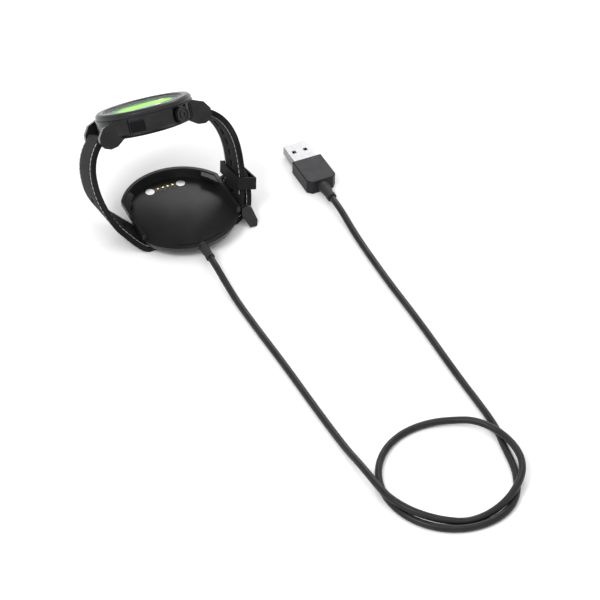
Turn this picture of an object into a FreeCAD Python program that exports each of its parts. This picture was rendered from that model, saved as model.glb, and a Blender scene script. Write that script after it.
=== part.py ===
import FreeCAD, Part
import math
import os
import Sketcher
from FreeCAD import Placement, Rotation, Vector

# A golf watch with its strap buckled round a charging dock, and the dock's USB lead. Millimetres, +Z up.
# The origin is the floor under the middle of the dock, where the strap's flat underside rests. +X is the
# watch's 12 o'clock side, and the dock's cable leaves towards -Y.

SIZES = (
    # the strap loop: it leans back, and its lowest stretch lies flat on the floor
    ("lean_deg", 32.0),
    ("loop_foot_y", -4.0),
    ("strap_thick", 3.0),
    ("tail_thick", 2.4),
    ("strap_wide", 22.0),
    ("strap_narrow", 19.6),
    ("twist_height", 35.0),
    ("hole_rad", 1.1),
    # the watch head, measured up from its back along the dial's normal
    ("head_x", -6.0),
    ("head_up", 49.5),
    ("case_rad", 23.7),
    ("case_low", 0.6),
    ("case_top", 9.6),
    ("cavity_rad", 19.4),
    ("shoulder_up", 2.5),
    ("back_seat_rad", 20.8),
    ("back_rad", 20.6),
    ("back_thick", 2.0),
    ("bezel_rad", 23.3),
    ("bezel_top_rad", 22.2),
    ("bezel_edge_up", 11.4),
    ("bezel_top", 12.5),
    ("crystal_rad", 19.0),
    ("crystal_thick", 1.4),
    ("crystal_up", 10.8),
    ("panel_rad", 17.9),
    ("panel_up", 9.3),
    ("panel_thick", 1.2),
    ("board_rad", 15.2),
    ("board_up", 5.3),
    ("board_thick", 0.8),
    ("battery_rad", 14.0),
    ("screw_ring_rad", 17.7),
    ("horn_in", 11.3),
    ("horn_out", 14.3),
    ("bar_x", 26.0),
    ("bar_up", 2.0),
    ("bar_rad", 0.75),
    ("button_deg", 28.0),
    ("button_up", 5.0),
    ("button_rad", 3.7),
    ("stem_rad", 1.2),
    # the dock
    ("dock_low", 3.2),
    ("base_thick", 0.8),
    ("dock_rad", 28.9),
    ("dock_flat", 25.2),
    ("dock_low_rad", 26.6),
    ("dock_low_flat", 22.2),
    ("dock_step", 0.8),
    ("dock_shoulder", 9.0),
    ("dock_floor", 6.8),
    ("dock_floor_thick", 1.0),
    ("dock_rim", 11.5),
    ("dock_wall", 2.0),
    ("pin_y", 20.0),
    ("pin_pitch", 2.54),
    ("pin_rad", 0.5),
    ("pin_flange_rad", 0.8),
    ("magnet_x", 8.0),
    ("magnet_rad", 2.2),
    # the lead and its plug
    ("cord_rad", 1.6),
    ("gland_end_y", -36.0),
    ("gland_up", 5.9),
    ("coil_x", 39.5),
    ("coil_y", -202.3),
    ("coil_outer", 30.9),
    ("coil_inner", 27.7),
    ("plug_x", 72.0),
    ("plug_axis_up", 3.75),
    ("mould_rear_y", -7.5),
    ("mould_front_y", 11.5),
    ("mould_wide", 15.6),
    ("mould_thick", 7.5),
    ("shell_wide", 12.0),
    ("shell_thick", 4.5),
    ("shell_front_y", 26.0),
)

doc = FreeCAD.newDocument("golf_watch_set")
sheet = doc.addObject("Spreadsheet::Sheet", "dims")
SUB_PARTS = []


def fill_sheet():
    for row, (alias, number) in enumerate(SIZES, start=1):
        sheet.set(f"A{row}", alias)
        sheet.set(f"B{row}", str(number))
        sheet.setAlias(f"B{row}", alias)
    doc.recompute()


fill_sheet()
D = {alias: float(sheet.get(alias)) for alias, _ in SIZES}
LEAN = math.radians(D["lean_deg"])
# where the dark window sits round the case, from the 3 o'clock side towards 6 o'clock
WINDOW_ANGLE = -27.0
HALF = D["strap_thick"] / 2


# ---- helpers ----

def bind(obj, prop, formula):
    """Bind a property to a formula on the sheet, or to a plain number."""
    obj.setExpression(prop, str(formula))


def move(obj, x=0, y=0, z=0):
    """Bind the places that aren't zero, so that a piece at the origin can be placed later."""
    for axis, formula in (("x", x), ("y", y), ("z", z)):
        if formula != 0:
            bind(obj, "Placement.Base." + axis, formula)
    return obj


def cylinder(name, rad, height, x=0, y=0, z=0):
    obj = doc.addObject("Part::Cylinder", name)
    bind(obj, "Radius", rad)
    bind(obj, "Height", height)
    return move(obj, x, y, z)


def cone(name, low_rad, top_rad, height, x=0, y=0, z=0):
    obj = doc.addObject("Part::Cone", name)
    bind(obj, "Radius1", low_rad)
    bind(obj, "Radius2", top_rad)
    bind(obj, "Height", height)
    return move(obj, x, y, z)


def box(name, length, width, height, x=0, y=0, z=0):
    """A box centred on x and y that stands on z."""
    obj = doc.addObject("Part::Box", name)
    bind(obj, "Length", length)
    bind(obj, "Width", width)
    bind(obj, "Height", height)
    return move(obj, f"({x}) - ({length}) / 2", f"({y}) - ({width}) / 2", z)


def fuse(name, *pieces):
    obj = doc.addObject("Part::MultiFuse", name)
    obj.Shapes = list(pieces)
    return obj


def cut(name, base, *tools):
    obj = doc.addObject("Part::Cut", name)
    obj.Base = base
    obj.Tool = tools[0] if len(tools) == 1 else fuse(name + "_tools", *tools)
    return obj


def feature(name, shape):
    obj = doc.addObject("Part::Feature", name)
    obj.Shape = shape
    return obj


def sub_part(obj, label, placement=None):
    """Name a finished sub-part, and put it in the row's frame."""
    obj.Label = label
    if placement is not None:
        obj.Placement = placement
    SUB_PARTS.append(obj)
    return obj


def disc(label, rad, thick, z, placement=None, hole_rad=None, x=0, y=0):
    """A round plate or ring: a PartDesign body with one sketch and one pad."""
    body = doc.addObject("PartDesign::Body", label + "_body")
    sketch = body.newObject("Sketcher::SketchObject", label + "_sketch")
    plane = [item for item in body.Origin.OriginFeatures if item.Role == "XY_Plane"][0]
    sketch.AttachmentSupport = [(plane, "")]
    sketch.MapMode = "FlatFace"
    bind(sketch, "AttachmentOffset.Base.x", x)
    bind(sketch, "AttachmentOffset.Base.y", y)
    bind(sketch, "AttachmentOffset.Base.z", z)
    for rim in [rad] + ([hole_rad] if hole_rad else []):
        circle = sketch.addGeometry(Part.Circle(Vector(0, 0, 0), Vector(0, 0, 1), 1), False)
        sketch.addConstraint(Sketcher.Constraint("Coincident", circle, 3, -1, 1))
        size = sketch.addConstraint(Sketcher.Constraint("Radius", circle, 1.0))
        bind(sketch, f"Constraints[{size}]", rim)
    pad = body.newObject("PartDesign::Pad", label + "_pad")
    pad.Profile = sketch
    bind(pad, "Length", thick)
    body.Tip = pad
    return sub_part(body, label, placement)


# ---- frames ----

def loop_point(b, q, a=0.0, twist=0.0):
    """A point of the leaning loop: b along X, q up the loop's plane, a across the strap's width."""
    return Vector(
        b,
        D["loop_foot_y"] + q * math.sin(LEAN) - a * math.cos(twist),
        HALF + q * math.cos(LEAN) + a * math.sin(twist),
    )


def twist_at(q):
    """The strap lies flat on the floor and reaches the head's lean at the lugs."""
    share = min(max(q / D["twist_height"], 0.0), 1.0)
    return LEAN * share * share * (3 - 2 * share)


HEAD = Placement(loop_point(D["head_x"], D["head_up"]), Rotation(Vector(1, 0, 0), -D["lean_deg"]))


def around(deg, rad, z):
    """A place on the head's side: the angle runs from 3 o'clock (-Y) towards 12 o'clock (+X)."""
    ang = math.radians(deg)
    return Vector(rad * math.sin(ang), -rad * math.cos(ang), z)


def radial(deg, rad, z):
    """A placement whose +Z points out of the case at this angle."""
    ang = math.radians(deg)
    outward = Vector(math.sin(ang), -math.cos(ang), 0)
    return Placement(around(deg, rad, z), Rotation(Vector(0, 0, 1), outward))


# ---- the watch head ----

def horn(name, x_side, y_side):
    """One lug horn: a wedge-shaped plate that drops below the case back."""
    outline = [(12.5, 9.4), (20.5, 9.4), (25.4, 7.4), (28.0, 3.6), (28.2, 0.6), (26.6, -1.8), (23.8, -2.9),
               (20.4, -2.4), (16.0, 0.6), (12.5, 0.8)]
    start = D["horn_in"] * y_side
    points = [Vector(x * x_side, start, z) for x, z in outline]
    face = Part.Face(Part.makePolygon(points + points[:1]))
    plate = face.extrude(Vector(0, (D["horn_out"] - D["horn_in"]) * y_side, 0))
    return feature(name, plate)


def side_cut(name, deg, rad, z, wide, high, deep):
    """A box that cuts into the case's side at this angle."""
    obj = doc.addObject("Part::Box", name)
    obj.Length = wide
    obj.Width = deep * 2
    obj.Height = high
    turn = Rotation(Vector(0, 0, 1), deg)
    obj.Placement = Placement(around(deg, rad, z), turn) * Placement(Vector(-wide / 2, -deep, 0), Rotation())
    return obj


def mid_case():
    blank = cylinder("case_blank", "dims.case_rad", "dims.case_top - 2.2", z=2.2)
    taper = cone("case_taper", "dims.case_rad - 1.4", "dims.case_rad", "2.2 - dims.case_low", z="dims.case_low")
    horns = [horn(f"horn_{n}", sx, sy) for n, (sx, sy) in enumerate(((1, 1), (1, -1), (-1, 1), (-1, -1)))]
    solid = fuse("case_solid", blank, taper, *horns)
    cavity = cylinder("case_cavity", "dims.cavity_rad", 12, z="dims.shoulder_up")
    seat = cylinder("case_back_seat", "dims.back_seat_rad", "dims.shoulder_up + 5", z=-5)
    grooves = [side_cut(f"case_groove_{n}", deg, D["case_rad"], 1.2, 0.7, 8.0, 0.7)
               for n, deg in enumerate((-37.0, 46.0))]
    panel = side_cut("case_window_seat", WINDOW_ANGLE, D["case_rad"], 2.6, 7.2, 5.4, 0.9)
    recess = side_cut("case_button_recess", D["button_deg"], D["case_rad"], 1.0, 9.0, 8.2, 1.1)
    bore = doc.addObject("Part::Cylinder", "case_button_bore")
    bind(bore, "Radius", "dims.stem_rad + 0.05")
    bore.Height = 8
    bore.Placement = radial(D["button_deg"], 18, D["button_up"])
    pocket = doc.addObject("Part::Cylinder", "case_seal_pocket")
    pocket.Radius = 2.1
    pocket.Height = 1.2
    pocket.Placement = radial(D["button_deg"], 21.6, D["button_up"])
    bars = []
    for n, side in enumerate((-1, 1)):
        hole = cylinder(f"case_bar_hole_{n}", "dims.bar_rad + 0.05", 25.6)
        hole.Placement = Placement(Vector(side * D["bar_x"], 12.8, D["bar_up"]), Rotation(Vector(1, 0, 0), 90))
        bars.append(hole)
    shell = cut("case_shell", solid, cavity, seat, panel, recess, bore, pocket, *grooves, *bars)
    bosses = []
    for n, deg in enumerate((60, 120, 240, 300)):
        spot = around(deg, D["screw_ring_rad"], D["shoulder_up"])
        bosses.append(cylinder(f"case_boss_{n}", 2.0, 4.5, spot.x, spot.y, spot.z))
    ready = fuse("case_with_bosses", shell, *bosses)
    holes = []
    for n, deg in enumerate((60, 120, 240, 300)):
        spot = around(deg, D["screw_ring_rad"], 0)
        holes.append(cylinder(f"case_screw_hole_{n}", 0.75, 5.5, spot.x, spot.y, 0))
    return sub_part(cut("mid_case_cut", ready, *holes), "mid_case", HEAD)


def bezel():
    foot = cylinder("bezel_foot", "dims.bezel_rad", "dims.bezel_edge_up - dims.case_top", z="dims.case_top")
    slope = cone("bezel_slope", "dims.bezel_rad", "dims.bezel_top_rad", "dims.bezel_top - dims.bezel_edge_up",
                 z="dims.bezel_edge_up")
    ring = fuse("bezel_solid", foot, slope)
    hole = cylinder("bezel_hole", "dims.panel_rad + 0.3", 10, z=5)
    seat = cylinder("bezel_crystal_seat", "dims.crystal_rad + 0.05", 5, z="dims.crystal_up")
    bevel = cone("bezel_inner_bevel", "dims.crystal_rad", "dims.crystal_rad + 0.8", 0.5, z="dims.bezel_top - 0.4")
    return sub_part(cut("bezel_cut", ring, hole, seat, bevel), "bezel", HEAD)


def display_stack():
    disc("crystal", "dims.crystal_rad", "dims.crystal_thick", "dims.crystal_up", HEAD)
    disc("display_panel", "dims.panel_rad", "dims.panel_thick", "dims.panel_up", HEAD)
    disc("display_border", "dims.panel_rad", 0.2, "dims.panel_up + dims.panel_thick", HEAD,
         hole_rad="dims.panel_rad - 1.1")
    disc("display_frame", "dims.cavity_rad - 0.2", 1.2, 8.0, HEAD, hole_rad="dims.cavity_rad - 2.4")


def head_inside():
    disc("main_board", "dims.board_rad", "dims.board_thick", "dims.board_up", HEAD)
    disc("battery", "dims.battery_rad", 2.9, 2.2, HEAD)
    disc("vibration_motor", 4.0, 1.7, "dims.board_up + dims.board_thick", HEAD, x=-8, y=5)
    block = box("antenna_block", 9, 9, 1.7, 5, 5, "dims.board_up + dims.board_thick")
    notch = box("antenna_notch", 2, 2, 3, 9.5, 9.5, "dims.board_up")
    sub_part(cut("antenna_cut", block, notch), "gps_antenna", HEAD)


def back_cover():
    plate = cylinder("back_plate", "dims.back_rad", "dims.back_thick - 0.4", z=0.4)
    edge = cone("back_edge", "dims.back_rad - 0.8", "dims.back_rad", 0.4, z=0)
    solid = fuse("back_solid", plate, edge)
    holes = []
    for n, deg in enumerate((60, 120, 240, 300)):
        spot = around(deg, D["screw_ring_rad"], 0)
        holes.append(cylinder(f"back_screw_hole_{n}", 0.8, 4, spot.x, spot.y, -1))
        holes.append(cylinder(f"back_screw_sink_{n}", 1.45, 2, spot.x, spot.y, -1.2))
    for n in range(4):
        holes.append(cylinder(f"back_contact_hole_{n}", 0.85, 5, f"({n} - 1.5) * dims.pin_pitch", 17.8, -1))
    sub_part(cut("back_cut", solid, *holes), "back_cover", HEAD)
    disc("back_gasket", "dims.back_rad - 0.1", "dims.shoulder_up - dims.back_thick", "dims.back_thick", HEAD,
         hole_rad="dims.cavity_rad + 0.1")
    for n, deg in enumerate((60, 120, 240, 300), start=1):
        spot = around(deg, D["screw_ring_rad"], 0)
        top = cylinder(f"back_screw_head_{n}", 1.4, 0.6, spot.x, spot.y, 0.15)
        shank = cylinder(f"back_screw_shank_{n}", 0.7, 4.5, spot.x, spot.y, 0.7)
        slot = box(f"back_screw_slot_{n}", 2.0, 0.4, 0.3, spot.x, spot.y, 0.0)
        solid = fuse(f"back_screw_solid_{n}", top, shank)
        sub_part(cut(f"back_screw_cut_{n}", solid, slot), f"back_screw_{n}", HEAD)
    pads = [cylinder(f"contact_{n}", 0.8, 1.7, f"({n} - 1.5) * dims.pin_pitch", 17.8, 0.1) for n in range(4)]
    strip = box("contact_strip", 9.2, 2.0, 0.2, 0, 17.8, 2.02)
    legs = [cylinder(f"contact_leg_{n}", 0.5, 0.6, f"({n} - 1.5) * dims.pin_pitch", 17.8, 1.6) for n in range(4)]
    sub_part(fuse("contact_solid", strip, *pads, *legs), "charge_contacts", HEAD)


def button():
    """The round side button with a ring pattern, its stem, its seal and the switch that it presses."""
    start = radial(D["button_deg"], 0, D["button_up"])
    cap = cylinder("button_disc", "dims.button_rad", 1.9, z=23.5)
    stem = cylinder("button_stem", "dims.stem_rad", 4.6, z=19.4)
    solid = fuse("button_solid", cap, stem)
    ring_out = cylinder("button_ring_out", 2.9, 1, z=25.0)
    ring_in = cylinder("button_ring_in", 2.1, 1, z=24.9)
    ring = cut("button_ring_cut", ring_out, ring_in)
    dish = cylinder("button_dish", 1.2, 1, z=25.0)
    sub_part(cut("button_cut", solid, ring, dish), "button_cap", HEAD * start)
    disc("button_seal", 2.05, 1.1, 21.65, HEAD * start, hole_rad="dims.stem_rad + 0.05")
    body = box("switch_body", 4.4, 3.6, 2.0, z=16.4)
    plunger = cylinder("switch_plunger", 0.8, 0.5, z=18.3)
    sub_part(fuse("switch_solid", body, plunger), "button_switch", HEAD * start)


def side_window():
    """The dark window plate let into the case's side."""
    obj = doc.addObject("Part::Box", "window_plate")
    obj.Length = 7.0
    obj.Width = 0.6
    obj.Height = 5.2
    turn = Rotation(Vector(0, 0, 1), WINDOW_ANGLE)
    place = Placement(around(WINDOW_ANGLE, D["case_rad"] - 0.25, 2.7), turn)
    return sub_part(obj, "side_window", HEAD * place * Placement(Vector(-3.5, -0.6, 0), Rotation()))


def spring_bar(label, side):
    rod = cylinder(label + "_rod", "dims.bar_rad", 25.2)
    spot = Vector(side * D["bar_x"], 12.6, D["bar_up"])
    return sub_part(rod, label, HEAD * Placement(spot, Rotation(Vector(1, 0, 0), 90)))


# ---- the strap ----

LONG_PATH = ((-32.0, 51.5), (-35.2, 48.2), (-37.9, 44.0), (-39.8, 38.5), (-40.4, 32.0), (-39.9, 26.0), (-38.0, 19.5),
             (-34.9, 13.0), (-30.9, 8.0), (-27.0, 3.6), (-24.2, 1.0), (-21.9, 0.05), (-19.0, 0.0), (-6.0, 0.0),
             (8.0, 0.0), (18.5, 0.0), (21.5, 0.1), (24.4, 0.9), (28.0, 2.8), (30.8, 5.0), (32.1, 8.4),
             (33.1, 13.0), (34.4, 18.8))
SHORT_PATH = ((20.0, 51.5), (23.6, 49.8), (27.6, 46.0), (30.4, 41.0), (31.9, 35.5), (32.3, 30.0), (32.0, 24.5),
              (31.2, 18.5), (29.6, 13.0), (27.8, 7.4))
BUCKLE_PIN = SHORT_PATH[-1]
TANG_HOLE = (31.0, 5.3)


def path_points(path, count):
    """Evenly spaced points on the smooth curve through the path, kept level where the strap lies flat."""
    curve = Part.BSplineCurve()
    curve.interpolate([Vector(b, q, 0) for b, q in path])
    points = curve.toShape().discretize(Number=count)
    return [(p.x, 0.0 if p.y < 0.15 else p.y) for p in points]


def strap_frame(points, n):
    """A path point, and the directions along the strap, across its width and through its thickness."""
    b, q = points[n]
    before = points[max(n - 1, 0)]
    after = points[min(n + 1, len(points) - 1)]
    along = loop_point(*after) - loop_point(*before)
    if q == 0.0:
        along = Vector(1, 0, 0)
    along.normalize()
    twist = twist_at(q)
    across = loop_point(b, q, 1, twist) - loop_point(b, q)
    through = along.cross(across).normalize()
    return loop_point(b, q), along, across, through


def strap_solid(path, count, thick_at, wide_at):
    """A ruled loft through one rectangle per path point."""
    points = path_points(path, count)
    sections = []
    for n in range(count):
        place, _, across, through = strap_frame(points, n)
        half = thick_at(n / (count - 1)) / 2
        wide = wide_at(n / (count - 1)) / 2
        corners = [place + through * half * up + across * wide * side
                   for up, side in ((1, 1), (1, -1), (-1, -1), (-1, 1))]
        sections.append(Part.makePolygon(corners + corners[:1]))
    return Part.makeLoft(sections, True, True)


def pin_cylinder(rad, half_length):
    """A cylinder about the buckle pin's axis, which runs along Y."""
    middle = loop_point(*BUCKLE_PIN)
    return Part.makeCylinder(rad, half_length * 2, middle - Vector(0, half_length, 0), Vector(0, 1, 0))


def head_cylinder(side, rad, low, high):
    """A cylinder along a spring bar's axis."""
    shape = Part.makeCylinder(rad, high - low, Vector(side * D["bar_x"], -high, D["bar_up"]), Vector(0, 1, 0))
    shape.Placement = HEAD * shape.Placement
    return shape


def punched(solid, path, count, where):
    """Round holes through the strap at these path points."""
    points = path_points(path, count)
    for n in where:
        place, _, _, through = strap_frame(points, n)
        solid = solid.cut(Part.makeCylinder(D["hole_rad"], 8, place - through * 4, through))
    return solid


LONG_COUNT = 61
SHORT_COUNT = 25


def long_strap():
    taper = D["strap_wide"] - D["strap_narrow"]
    solid = strap_solid(
        LONG_PATH,
        LONG_COUNT,
        lambda share: D["strap_thick"] if share < 0.78 else D["tail_thick"],
        lambda share: D["strap_wide"] - taper * min(share * 1.6, 1.0),
    )
    solid = solid.fuse(head_cylinder(-1, 1.55, -D["strap_wide"] / 2, D["strap_wide"] / 2))
    solid = solid.cut(head_cylinder(-1, D["bar_rad"] + 0.05, -12, 12))
    solid = punched(solid, LONG_PATH, LONG_COUNT, (14, 17, 20, 23))
    slot = Part.makeBox(8, 2.6, 4.6, Vector(-4, -1.3, -2.3))
    hole_place = loop_point(*TANG_HOLE)
    hole_place.y = loop_point(*BUCKLE_PIN).y
    slot.Placement = Placement(hole_place, Rotation(Vector(0, 1, 0), 30))
    solid = solid.cut(slot)
    return sub_part(feature("long_strap_shape", solid), "long_strap")


def short_strap():
    taper = D["strap_wide"] - D["strap_narrow"]
    solid = strap_solid(
        SHORT_PATH,
        SHORT_COUNT,
        lambda share: D["strap_thick"],
        lambda share: D["strap_wide"] - taper * share,
    )
    solid = solid.fuse(head_cylinder(1, 1.55, -D["strap_wide"] / 2, D["strap_wide"] / 2))
    solid = solid.cut(head_cylinder(1, D["bar_rad"] + 0.05, -12, 12))
    solid = solid.fuse(pin_cylinder(1.7, 9.6))
    solid = solid.cut(pin_cylinder(0.85, 12))
    solid = solid.cut(pin_cylinder(3.4, 1.6))
    return sub_part(feature("short_strap_shape", solid), "short_strap")


def buckle():
    """The square frame, the pin that joins it to the short strap, and the tang."""
    outline = ((28.2, -0.9), (31.8, -1.2), (32.9, 1.4), (31.4, 8.0), (29.2, 9.4), (26.4, 8.8), (25.6, 5.4))
    far_bar = (30.4, 0.2)
    plate_in = 11.6
    plate_thick = 2.0
    frame = None
    for side in (-1, 1):
        points = [loop_point(b, q, side * plate_in) for b, q in outline]
        plate = Part.Face(Part.makePolygon(points + points[:1])).extrude(Vector(0, -side * plate_thick, 0))
        frame = plate if frame is None else frame.fuse(plate)
    bar_middle = loop_point(*far_bar)
    bar_start = bar_middle - Vector(0, plate_in + 0.5, 0)
    frame = frame.fuse(Part.makeCylinder(0.9, plate_in * 2 + 1, bar_start, Vector(0, 1, 0)))
    frame = frame.cut(pin_cylinder(0.83, plate_in + 1.2))
    sub_part(feature("buckle_frame_shape", frame), "buckle_frame")
    sub_part(feature("buckle_pin_shape", pin_cylinder(0.78, plate_in + 1.0)), "buckle_pin")
    curve = ((28.6, 6.7), (30.4, 5.6), (32.0, 4.0), (32.6, 1.6), (32.2, -0.6), (31.6, -0.5), (31.8, 1.6),
             (31.2, 3.6), (29.8, 4.8), (28.0, 5.9))
    middle = loop_point(*BUCKLE_PIN)
    level = [Vector(loop_point(b, q).x, middle.y - 0.8, loop_point(b, q).z) for b, q in curve]
    prong = Part.Face(Part.makePolygon(level + level[:1])).extrude(Vector(0, 1.6, 0))
    tang = pin_cylinder(1.5, 1.2).fuse(prong).cut(pin_cylinder(0.83, 3))
    sub_part(feature("buckle_tang_shape", tang), "buckle_tang")


def keeper():
    """The loop that holds the tail against the short strap."""
    foot = (29.85, 13.8)
    head = (31.35, 19.3)
    rise = loop_point(*head) - loop_point(*foot)
    twist = twist_at(16.5)
    across = loop_point(*foot, 1, twist) - loop_point(*foot)
    through = Vector(rise).normalize().cross(across).normalize()
    outward = through if through.x > 0 else through * -1

    def ring(low, high, half_wide):
        corners = [loop_point(*foot) + outward * off + across * side
                   for off, side in ((low, half_wide), (high, half_wide), (high, -half_wide), (low, -half_wide))]
        return Part.Face(Part.makePolygon(corners + corners[:1]))

    outer = ring(-3.1, 6.3, 12.0).extrude(rise)
    inner = ring(-2.2, 5.4, 11.0)
    inner.translate(rise * -0.1)
    return sub_part(feature("keeper_shape", outer.cut(inner.extrude(rise * 1.2))), "strap_keeper")


# ---- the dock ----

def dock_outline(rad, flat, z):
    """The dock's plan: two arcs joined by two straight flats."""
    reach = math.sqrt(rad * rad - flat * flat)
    a, b, c, d = (Vector(flat, -reach, z), Vector(flat, reach, z), Vector(-flat, reach, z), Vector(-flat, -reach, z))
    return Part.Wire([
        Part.LineSegment(a, b).toShape(),
        Part.Arc(b, Vector(0, rad, z), c).toShape(),
        Part.LineSegment(c, d).toShape(),
        Part.Arc(d, Vector(0, -rad, z), a).toShape(),
    ])


def dock_slab(rad, flat, low, top, top_rad=None, top_flat=None):
    return Part.makeLoft([
        dock_outline(rad, flat, low),
        dock_outline(top_rad or rad, top_flat or flat, top),
    ], True, True)


def clip_tab(side):
    """A triangular hook at a back corner of the dock."""
    outline = ((24.4, 5.6), (24.4, 13.0), (19.2, 20.4), (17.6, 16.4), (20.2, 13.2))
    points = [Vector(x * side, y, 8.9) for x, y in outline]
    return Part.Face(Part.makePolygon(points + points[:1])).extrude(Vector(0, 0, 2.2))


def dock_shell():
    low = D["dock_low"] + D["base_thick"]
    lower = dock_slab(D["dock_low_rad"], D["dock_low_flat"], low, D["dock_shoulder"], D["dock_rad"], D["dock_flat"])
    upper = dock_slab(D["dock_rad"], D["dock_flat"], D["dock_shoulder"], D["dock_rim"])
    solid = lower.fuse(upper).removeSplitter()
    wall = D["dock_wall"]
    recess = dock_slab(D["dock_rad"] - wall - 0.6, D["dock_flat"] - wall - 0.6, D["dock_floor"], D["dock_rim"] + 1,
                       D["dock_rad"] - wall + 0.6, D["dock_flat"] - wall + 0.6)
    solid = solid.cut(recess)
    front_y = -math.sqrt(D["dock_rad"] ** 2 - D["dock_flat"] ** 2)
    mouth = Part.makeBox(70, 30, 10, Vector(-35, front_y - 29.6, D["dock_floor"] + 0.9))
    solid = solid.cut(mouth)
    for side in (-1, 1):
        solid = solid.fuse(clip_tab(side))
    solid = solid.common(dock_slab(D["dock_low_rad"] + 9, D["dock_flat"], 0, 20))
    groove = dock_slab(24.9, 21.0, D["dock_floor"] - 0.3, D["dock_floor"] + 5).cut(
        dock_slab(24.3, 20.4, D["dock_floor"] - 1, D["dock_floor"] + 6))
    groove = groove.common(Part.makeBox(22, 12, 20, Vector(-11, -28, 0)))
    solid = solid.cut(groove)
    cavity_top = D["dock_floor"] - D["dock_floor_thick"]
    solid = solid.cut(dock_slab(24.4, 19.8, low - 1, cavity_top))
    for spot in screw_spots():
        boss = Part.makeCylinder(2.0, cavity_top - low, spot + Vector(0, 0, low))
        solid = solid.fuse(boss.cut(Part.makeCylinder(0.85, 20, spot)))
    solid = solid.cut(Part.makeBox(12.4, 3.4, 5, Vector(-6.2, D["pin_y"] - 1.7, 5)))
    for side in (-1, 1):
        spot = Vector(side * D["magnet_x"], D["pin_y"], 5)
        solid = solid.cut(Part.makeCylinder(D["magnet_rad"] + 0.05, 5, spot))
    solid = solid.cut(Part.makeCylinder(2.25, 9, Vector(0, -25.8, D["gland_up"]), Vector(0, -1, 0)))
    return sub_part(feature("dock_shell_shape", solid), "dock_shell")


def screw_spots():
    return [Vector(15.0 * sx, 12.0 * sy, 0) for sx, sy in ((-1, -1), (-1, 1), (1, -1), (1, 1))]


def dock_inside():
    base = dock_slab(D["dock_low_rad"] - D["dock_step"], D["dock_low_flat"] - D["dock_step"],
                     D["dock_low"], D["dock_low"] + D["base_thick"])
    for spot in screw_spots():
        base = base.cut(Part.makeCylinder(1.5, 9, spot))
    sub_part(feature("dock_base_shape", base), "dock_base")
    sub_part(box("dock_board_solid", 20.8, 14.8, 0.6, z=4.2, y=14.5), "dock_board")
    for n, spot in enumerate(screw_spots(), start=1):
        top = cylinder(f"dock_screw_head_{n}", 1.4, 0.5, spot.x, spot.y, "dims.dock_low + 0.1")
        shank = cylinder(f"dock_screw_shank_{n}", 0.8, 1.9, spot.x, spot.y, "dims.dock_low + 0.6")
        slot = box(f"dock_screw_slot_{n}", 2.0, 0.4, 0.3, spot.x, spot.y, "dims.dock_low")
        solid = fuse(f"dock_screw_solid_{n}", top, shank)
        sub_part(cut(f"dock_screw_cut_{n}", solid, slot), f"dock_screw_{n}")


def dock_contacts():
    block = box("pin_block_solid", 11.2, 3, 2, 0, "dims.pin_y", 4.8)
    holes = []
    for n in range(4):
        place = f"({n} - 1.5) * dims.pin_pitch"
        holes.append(cylinder(f"pin_bore_{n}", "dims.pin_flange_rad + 0.05", 2.6, place, "dims.pin_y", 3.8))
        holes.append(cylinder(f"pin_neck_{n}", "dims.pin_rad + 0.05", 4, place, "dims.pin_y", 5))
    sub_part(cut("pin_block_cut", block, *holes), "pin_block")
    for n in range(4):
        place = f"({n} - 1.5) * dims.pin_pitch"
        flange = cylinder(f"pin_flange_{n}", "dims.pin_flange_rad", 0.5, place, "dims.pin_y", 5.85)
        shaft = cylinder(f"pin_shaft_{n}", "dims.pin_rad", 1.2, place, "dims.pin_y", 6.3)
        sub_part(fuse(f"pogo_pin_solid_{n}", flange, shaft), f"pogo_pin_{n + 1}")
        helix = Part.makeHelix(0.3, 0.84, 0.5)
        helix.translate(Vector(0, 0, 0.12))
        section = Part.Wire(Part.makeCircle(0.1, Vector(0.5, 0, 0.12), Vector(0, 1, 0)))
        coil = Part.Wire(helix).makePipeShell([section], True, True)
        spring = feature(f"pogo_spring_shape_{n}", coil)
        x = (n - 1.5) * D["pin_pitch"]
        sub_part(spring, f"pogo_spring_{n + 1}", Placement(Vector(x, D["pin_y"], 4.8), Rotation()))
    for label, side in (("dock_magnet_left", -1), ("dock_magnet_right", 1)):
        solid = cylinder(label + "_solid", "dims.magnet_rad", 2.05, f"{side} * dims.magnet_x", "dims.pin_y", 4.85)
        sub_part(solid, label)


# ---- the lead ----

DOCK_ROUTE = ((0.0, -36.0, 5.9), (0.0, -43.0, 5.9), (0.4, -53.0, 3.5), (0.9, -65.0, 1.6), (1.6, -84.0, 1.6),
              (3.2, -112.0, 1.6), (4.2, -144.0, 1.6), (5.4, -170.0, 1.6), (6.4, -185.0, 1.6), (8.0, -195.0, 1.6))
PLUG_ROUTE = ((71.4, -195.0, 1.6), (70.9, -180.0, 1.6), (70.2, -150.0, 1.6), (71.0, -114.0, 1.6),
              (70.5, -84.0, 1.6), (70.8, -62.0, 1.6), (71.3, -46.0, 1.65), (71.8, -35.0, 2.6),
              (72.0, -26.0, 3.75), (72.0, -18.0, 3.75))


def rounded_wire(route):
    """Straight runs joined by tangent arcs as large as their two runs allow."""
    points = [Vector(*p) for p in route]
    edges = []
    radii = []
    start = points[0]
    for before, corner, after in zip(points, points[1:], points[2:]):
        back = (before - corner).normalize()
        ahead = (after - corner).normalize()
        turn = math.pi - back.getAngle(ahead)
        trim = 0.45 * min((before - corner).Length, (after - corner).Length)
        rad = trim / math.tan(turn / 2)
        arc_in = corner + back * trim
        arc_out = corner + ahead * trim
        middle = (back + ahead).normalize()
        centre_gap = math.hypot(rad, trim)
        arc_mid = corner + middle * (centre_gap - rad)
        edges.append(Part.LineSegment(start, arc_in).toShape())
        edges.append(Part.Arc(arc_in, arc_mid, arc_out).toShape())
        radii.append(round(rad, 1))
        start = arc_out
    edges.append(Part.LineSegment(start, points[-1]).toShape())
    return Part.Wire(edges), radii


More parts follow.
